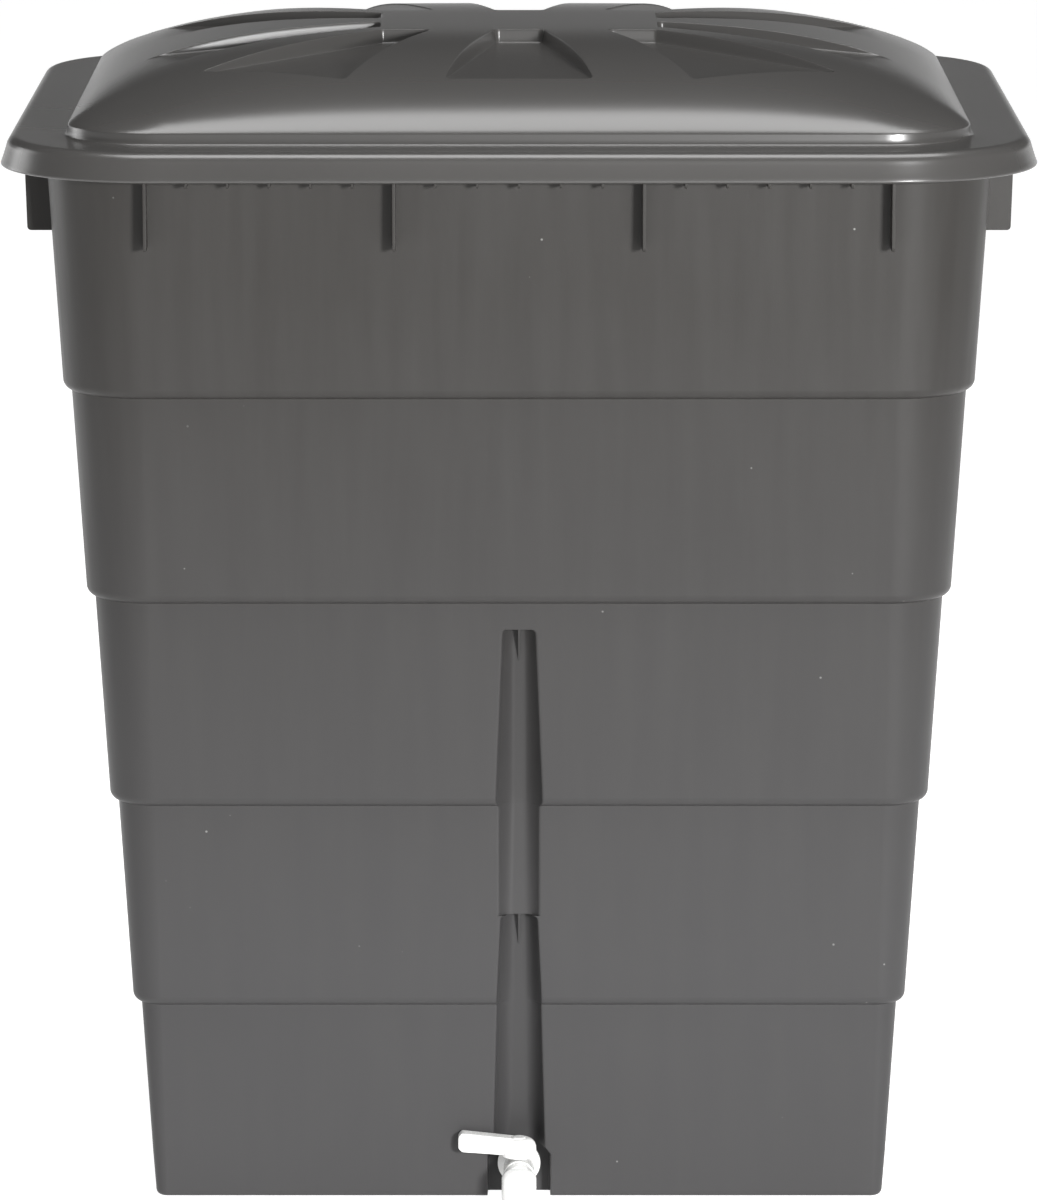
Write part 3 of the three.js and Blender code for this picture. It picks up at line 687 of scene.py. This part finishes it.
def make_lid():
    top, top_faces, top_edge = lid_sheet(0, 6)
    under, under_faces, under_edge = lid_sheet(LID_WALL, 14)
    verts = [(x, y, z) for (x, y), z in zip(top, lid_height(top))]
    verts += [(x, y, z) for (x, y), z in zip(under, lid_height(under, LID_WALL))]
    faces = [tuple(face) for face in top_faces]
    faces += [tuple(len(top) + i for i in reversed(face)) for face in under_faces]
    middle = len(verts)
    rings = [top_edge]
    for run, z in lid_profile():
        rings.append(range(len(verts), len(verts) + len(top_edge)))
        verts += lid_ring(run, z)
    rings.append([len(top) + i for i in under_edge])
    count = len(top_edge)
    for high, low in zip(rings, rings[1:]):
        for i in range(count):
            j = (i + 1) % count
            faces.append((low[i], low[j], high[j], high[i]))
    obj = new_object("lid_shell", verts, faces)
    obj.data.shade_smooth()
    own = np.zeros(len(verts) * 3)
    obj.data.vertices.foreach_get("normal", own)
    normals = own.reshape(-1, 3)
    edge = set(top_edge)
    inner = np.array([i for i in range(len(top)) if i not in edge])
    normals[inner] = top_normals(top, 0)[inner]
    normals[len(top):middle] = -top_normals(under, LID_WALL)
    obj.data.normals_split_custom_set_from_vertices(normals.tolist())
    return obj


# ---- Tap ----

def make_spout():
    column = rounded_profile([(0, 8), (SPOUT_R, 8), (SPOUT_R, 26)], 0.8)
    for angle in np.linspace(0, math.pi / 2, 13)[:-1]:
        column.append((SPOUT_R * math.cos(angle), 27 + 9 * math.sin(angle)))
    column.append((0.5, 36))
    column.append((0, 36))
    body = stand_at(lathe("spout_look", column, 96), SPOUT_Y)
    front = HOUSING_FRONT - 0.3
    combine(body, along_y(lathe("barrel", disc(11.9, SPOUT_Y, front), 96)), "UNION")
    combine(body, along_y(lathe("plug", disc(9.1, front - 1, BALL_Y - 9.7), 96)), "UNION")
    bore = lathe("bore", disc(9.5, 7, 30), 96)
    combine(body, stand_at(bore, SPOUT_Y), "DIFFERENCE")
    combine(body, along_y(lathe("way", disc(6, SPOUT_Y, BALL_Y), 64)), "DIFFERENCE")
    low, high = GROOVE
    groove = lathe("groove", [(7.6, low), (12, low), (12, high), (7.6, high)], 96)
    combine(body, along_y(groove), "DIFFERENCE")
    return smooth(bevel(body, 0.35, 2, 50))


def make_tap_body():
    """Housing, neck, collar and ridged tail as one turned piece, with the stem's tower."""
    collar_front = COLLAR_BACK - 4.7
    neck = BALL_Y + 12.4
    outside = [(9.4, HOUSING_FRONT), (HOUSING_R, HOUSING_FRONT), (HOUSING_R, neck), (10.5, neck),
               (10.5, collar_front), (COLLAR_R, collar_front), (COLLAR_R, COLLAR_BACK),
               (THREAD_R, COLLAR_BACK), (THREAD_R, PAD_Y + 1)]
    pitch = 1.8
    place = PAD_Y + 1
    while place + pitch < TAIL_END - 1:
        outside += [(THREAD_R, place + 0.5), (THREAD_ROOT_R, place + 0.9), (THREAD_ROOT_R, place + 1.1),
                    (THREAD_R, place + 1.5)]
        place += pitch
    outside += [(THREAD_R, TAIL_END), (6.5, TAIL_END), (6.5, BALL_Y + 9.7), (9.4, BALL_Y + 9.7)]
    body = along_y(lathe("tap_body_look", outside, 96))
    tower = lathe("tower", disc(7, 34, 45), 64)
    combine(body, stand_at(tower, BALL_Y), "UNION")
    for radius, low, high in ((5.8, 30, 36), (4.2, 30, 46)):
        hole = lathe("hole", disc(radius, low, high), 48)
        combine(body, stand_at(hole, BALL_Y), "DIFFERENCE")
    return smooth(bevel(body, 0.3, 2, 50))


def make_lever():
    hub_profile = rounded_profile([(0, 38.2), (14, 38.2), (14, 45)], 0.8)
    for angle in np.linspace(0, math.pi / 2, 11):
        hub_profile.append((6 + 8 * math.cos(angle), 45 + 8 * math.sin(angle)))
    hub_profile.append((0, 53))
    hub = lathe("lever_look", hub_profile, 96)
    outline = [(-10, 39.6), (-46, 42.2), (-49, 45.2), (-49, 55), (-46, 58), (0, 53), (0, 40)]
    arm = prism("arm", outline, -6.5, 6.5)
    move(arm, Matrix.Rotation(math.radians(90), 4, "X"))
    bevel(arm, 1.6, 4, 20)
    combine(hub, arm, "UNION")
    for name, profile in (("socket", disc(7.6, 37, 45.6)), ("recess", disc(5.9, 50, 54))):
        combine(hub, lathe(name, profile, 64), "DIFFERENCE")
    square = prism("square", [(-3.05, -3.05), (3.05, -3.05), (3.05, 3.05), (-3.05, 3.05)], 45, 51)
    combine(hub, square, "DIFFERENCE")
    stand_at(hub, BALL_Y)
    return smooth(bevel(hub, 0.3, 2, 60), 40)


def make_cap():
    profile = rounded_profile([(0, 52.3), (5.6, 52.3), (5.6, 53.3), (4.7, 53.9), (0, 54)], 0.4)
    return smooth(stand_at(lathe("lever_cap_look", profile, 64), BALL_Y), 50)


def make_gasket(name, low, high):
    outline = []
    middle = (low + high) / 2
    half = (high - low) / 2
    for angle in np.linspace(-math.pi / 2, math.pi / 2, 9):
        outline.append((16.4 + 0.8 * math.cos(angle), middle + half * math.sin(angle)))
    outline += [(13.4, high), (13.4, low)]
    return smooth(along_y(lathe(name, outline, 96)), 50)


# ---- Materials ----

class Finish:
    """A principled material with a few helpers for its node tree."""

    def __init__(self, name, color, roughness, metallic=0.0, specular=0.5, coat=0.0):
        self.material = bpy.data.materials.new(name)
        self.material.use_nodes = True
        self.nodes = self.material.node_tree.nodes
        self.links = self.material.node_tree.links
        self.shader = self.nodes["Principled BSDF"]
        self.set(self.shader, "Base Color", (*color, 1))
        self.set(self.shader, "Roughness", roughness)
        self.set(self.shader, "Metallic", metallic)
        self.set(self.shader, "Specular IOR Level", specular)
        self.set(self.shader, "Coat Weight", coat)
        self.place = self.nodes.new("ShaderNodeTexCoord").outputs["Object"]

    def set(self, node, socket, value):
        target = node.inputs[socket]
        if isinstance(value, bpy.types.NodeSocket):
            self.links.new(value, target)
        else:
            target.default_value = value

    def make(self, kind, output, properties=None, **inputs):
        node = self.nodes.new(kind)
        for key, value in (properties or {}).items():
            setattr(node, key, value)
        for key, value in inputs.items():
            self.set(node, key.replace("_", " "), value)
        return node.outputs[output]

    def stretched(self, scale):
        return self.make("ShaderNodeMapping", "Vector", Vector=self.place, Scale=scale)

    def noise(self, scale, detail=3.0, stretch=(1, 1, 1), rough=0.5):
        return self.make("ShaderNodeTexNoise", "Fac", Vector=self.stretched(stretch), Scale=scale,
                         Detail=detail, Roughness=rough)

    def ramp(self, value, low, high, out_low=0.0, out_high=1.0):
        node = self.nodes.new("ShaderNodeMapRange")
        keys = ("Value", "From Min", "From Max", "To Min", "To Max")
        for key, item in zip(keys, (value, low, high, out_low, out_high)):
            self.set(node, key, item)
        return node.outputs["Result"]

    def math(self, operation, a, b):
        node = self.nodes.new("ShaderNodeMath")
        node.operation = operation
        self.set(node, 0, a)
        self.set(node, 1, b)
        return node.outputs[0]

    def mix(self, share, first, second):
        node = self.nodes.new("ShaderNodeMix")
        node.data_type = "RGBA"
        self.set(node, 0, share)
        for index, value in ((6, first), (7, second)):
            self.set(node, index, (*value, 1) if isinstance(value, tuple) else value)
        return node.outputs[2]

    def bump(self, height, strength, distance, normal=None):
        node = self.nodes.new("ShaderNodeBump")
        self.set(node, "Height", height)
        self.set(node, "Strength", strength)
        self.set(node, "Distance", distance)
        if normal is not None:
            self.set(node, "Normal", normal)
        return node.outputs["Normal"]

    def height_of(self):
        node = self.nodes.new("ShaderNodeSeparateXYZ")
        self.set(node, 0, self.place)
        return node.outputs["Z"]


def tank_plastic():
    finish = Finish("tank_plastic", (0.04, 0.04, 0.04), 0.42, specular=0.18)
    streak = finish.noise(9, 4, (8, 8, 0.35))
    cloud = finish.noise(5, 3)
    # Painted shade: the colour darkens from 0.2 m to 0.75 m up, so the upper tank is shaded darker and the
    # lower tiers lighter, standing in for the floor's bounce light.
    up = finish.ramp(finish.height_of(), 0.2, 0.75)
    color = finish.mix(up, (0.042, 0.0412, 0.042), (0.0235, 0.022, 0.0205))
    color = finish.mix(finish.ramp(streak, 0.35, 0.75, 0, 0.16), color, (0.05, 0.049, 0.047))
    color = finish.mix(finish.ramp(cloud, 0.4, 0.8, 0, 0.18), color, (0.027, 0.026, 0.026))
    cells = finish.make("ShaderNodeTexVoronoi", "Distance", Vector=finish.place, Scale=46.0)
    speck = finish.ramp(cells, 0.05, 0.03, 0, 0.5)
    thin = finish.ramp(finish.noise(11, 2), 0.56, 0.62)
    color = finish.mix(finish.math("MULTIPLY", speck, thin), color, (0.3, 0.3, 0.29))
    finish.set(finish.shader, "Base Color", color)
    scuff = finish.noise(60, 4, (1.2, 1.2, 0.08), 0.6)
    scuffed = finish.ramp(scuff, 0.35, 0.7, -0.03, 0.05)
    rough = finish.math("ADD", scuffed, finish.ramp(cloud, 0.3, 0.7, 0.36, 0.44))
    finish.set(finish.shader, "Roughness", rough)
    grain = finish.noise(900, 2)
    normal = finish.bump(grain, 0.1, 0.0004)
    normal = finish.bump(finish.noise(12, 2, (1, 1, 0.6)), 0.1, 0.004, normal)
    finish.set(finish.shader, "Normal", normal)
    return finish.material


def lid_plastic():
    finish = Finish("lid_plastic", (0.08, 0.078, 0.075), 0.26, specular=0.5)
    cloud = finish.noise(4, 1)
    color = finish.mix(cloud, (0.037, 0.0358, 0.0346), (0.043, 0.0415, 0.04))
    finish.set(finish.shader, "Base Color", color)
    finish.set(finish.shader, "Roughness", finish.ramp(cloud, 0, 1, 0.24, 0.29))
    finish.set(finish.shader, "Normal", finish.bump(finish.noise(900, 1), 0.025, 0.0002))
    return finish.material


def simple_finish(name, color, other, roughness, grain, strength, metallic=0.0, coat=0.0,
                  stretch=(1, 1, 1)):
    """A finish whose colour, roughness and surface all vary a little."""
    finish = Finish(name, color, roughness, metallic, coat=coat)
    cloud = finish.noise(70, 4)
    finish.set(finish.shader, "Base Color", finish.mix(finish.ramp(cloud, 0.35, 0.7), color, other))
    wear = finish.noise(grain, 3, stretch)
    finish.set(finish.shader, "Roughness", finish.ramp(wear, 0.3, 0.7, roughness - 0.05, roughness + 0.07))
    finish.set(finish.shader, "Normal", finish.bump(wear, strength, 0.0003))
    return finish.material


def build_materials():
    made = {"tank_plastic": tank_plastic(), "lid_plastic": lid_plastic()}
    rows = [
        ("tap_plastic", (0.76, 0.76, 0.75), (0.71, 0.71, 0.7), 0.24, 900, 0.08),
        ("gasket_rubber", (0.02, 0.02, 0.021), (0.035, 0.035, 0.035), 0.7, 1400, 0.3),
        ("seat_plastic", (0.8, 0.79, 0.75), (0.74, 0.73, 0.69), 0.38, 800, 0.08),
        ("strainer_plastic", (0.03, 0.031, 0.032), (0.045, 0.045, 0.046), 0.45, 900, 0.15),
        ("brass", (0.62, 0.5, 0.25), (0.55, 0.42, 0.19), 0.26, 600, 0.1),
        ("screw_steel", (0.55, 0.56, 0.57), (0.48, 0.48, 0.49), 0.3, 700, 0.1),
    ]
    extras = {
        "tap_plastic": {"coat": 0.2},
        "brass": {"metallic": 1.0, "stretch": (1, 1, 8)},
        "screw_steel": {"metallic": 1.0, "stretch": (1, 1, 8)},
    }
    for name, *values in rows:
        made[name] = simple_finish(name, *values, **extras.get(name, {}))
    return made


# ---- Assembly ----

finishes = build_materials()
made = [
    (make_tank(), "tank", "tank_body", "tank_plastic"),
    (make_lid(), "lid", "lid", "lid_plastic"),
    (make_tap_body(), "tank", "tap_body", "tap_plastic"),
    (make_spout(), "tank", "spout_elbow", "tap_plastic"),
    (make_gasket("outer_gasket_look", PAD_Y - 3.3, PAD_Y - 0.3), "tank", "outer_gasket", "gasket_rubber"),
    (make_gasket("inner_gasket_look", PAD_Y + 4.3, PAD_Y + 6.8), "tank", "inner_gasket", "gasket_rubber"),
    (make_lever(), "tap_valve", "lever", "tap_plastic"),
    (make_cap(), "tap_valve", "lever_cap", "tap_plastic"),
]
for obj, body, node, slot in made:
    obj.data.materials.clear()
    obj.data.materials.append(finishes[slot])
    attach(obj, body)
    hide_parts(node)

slots = {row["node"]: row["material_slot"] for row in frame["record"]["subparts"]}
shown_as_cad = set(frame["nodes"]) - {node for _, _, node, _ in made}
for name in sorted(shown_as_cad):
    node = frame["nodes"][name]
    node.data.materials.clear()
    node.data.materials.append(finishes[slots[name]])


# ---- Studio ----

def area_light(name, place, target, size, power):
    data = bpy.data.lights.new(name, "AREA")
    data.shape = "RECTANGLE"
    data.size, data.size_y = size
    data.energy = power
    obj = bpy.data.objects.new(name, data)
    obj.location = place
    obj.rotation_euler = (Vector(target) - Vector(place)).to_track_quat("-Z", "Y").to_euler()
    bpy.context.scene.collection.objects.link(obj)


def studio_floor():
    """A wide floor that gives off enough light of its own to read as white."""
    half = 60000
    corners = [(-half, -half, 0), (half, -half, 0), (half, half, 0), (-half, half, 0)]
    floor = new_object("floor", corners, [(0, 1, 2, 3)])
    finish = Finish("floor", (0.5, 0.5, 0.5), 0.9, specular=0.1)
    color = finish.mix(finish.ramp(finish.noise(0.8, 3), 0.3, 0.7), (0.5, 0.5, 0.5), (0.52, 0.52, 0.52))
    finish.set(finish.shader, "Base Color", color)
    finish.set(finish.shader, "Emission Color", (1, 1, 1, 1))
    finish.set(finish.shader, "Emission Strength", 0.93)
    floor.data.materials.append(finish.material)


def studio_world():
    """White up to just above the horizon, and a dark studio ceiling higher up."""
    world = bpy.data.worlds.new("studio")
    world.use_nodes = True
    nodes, links = world.node_tree.nodes, world.node_tree.links
    split = nodes.new("ShaderNodeSeparateXYZ")
    links.new(nodes.new("ShaderNodeTexCoord").outputs["Generated"], split.inputs[0])
    ramp = nodes.new("ShaderNodeValToRGB")
    stops = ramp.color_ramp.elements
    stops[0].position, stops[0].color = 0.0, (1, 1, 1, 1)
    stops[1].position, stops[1].color = 0.12, (0.06, 0.06, 0.06, 1)
    stops.new(0.05).color = (1, 1, 1, 1)
    links.new(split.outputs["Z"], ramp.inputs["Fac"])
    links.new(ramp.outputs["Color"], nodes["Background"].inputs["Color"])
    nodes["Background"].inputs["Strength"].default_value = 1.0
    bpy.context.scene.world = world


studio_floor()
studio_world()
area_light("key", (2.1, -5.5, 1.5), (0, 0, 0.5), (0.8, 0.8), 580)
area_light("top", (0.2, -0.6, 4.2), (0, 0, 0.4), (3.6, 2.1), 190)
area_light("rear_rim", (-3.2, 1.6, 1.2), (0, 0, 0.5), (1.5, 2.0), 30)

camera_data = bpy.data.cameras.new("camera")
camera_data.sensor_fit = "AUTO"
camera_data.sensor_width = 36
camera_data.lens = 207.75
camera = bpy.data.objects.new("camera", camera_data)
camera.location = (0, -5.644, 1.558)
camera.rotation_euler = (math.radians(78.86), 0, 0)
bpy.context.scene.collection.objects.link(camera)
bpy.context.scene.camera = camera
bpy.context.scene.view_settings.view_transform = "Standard"
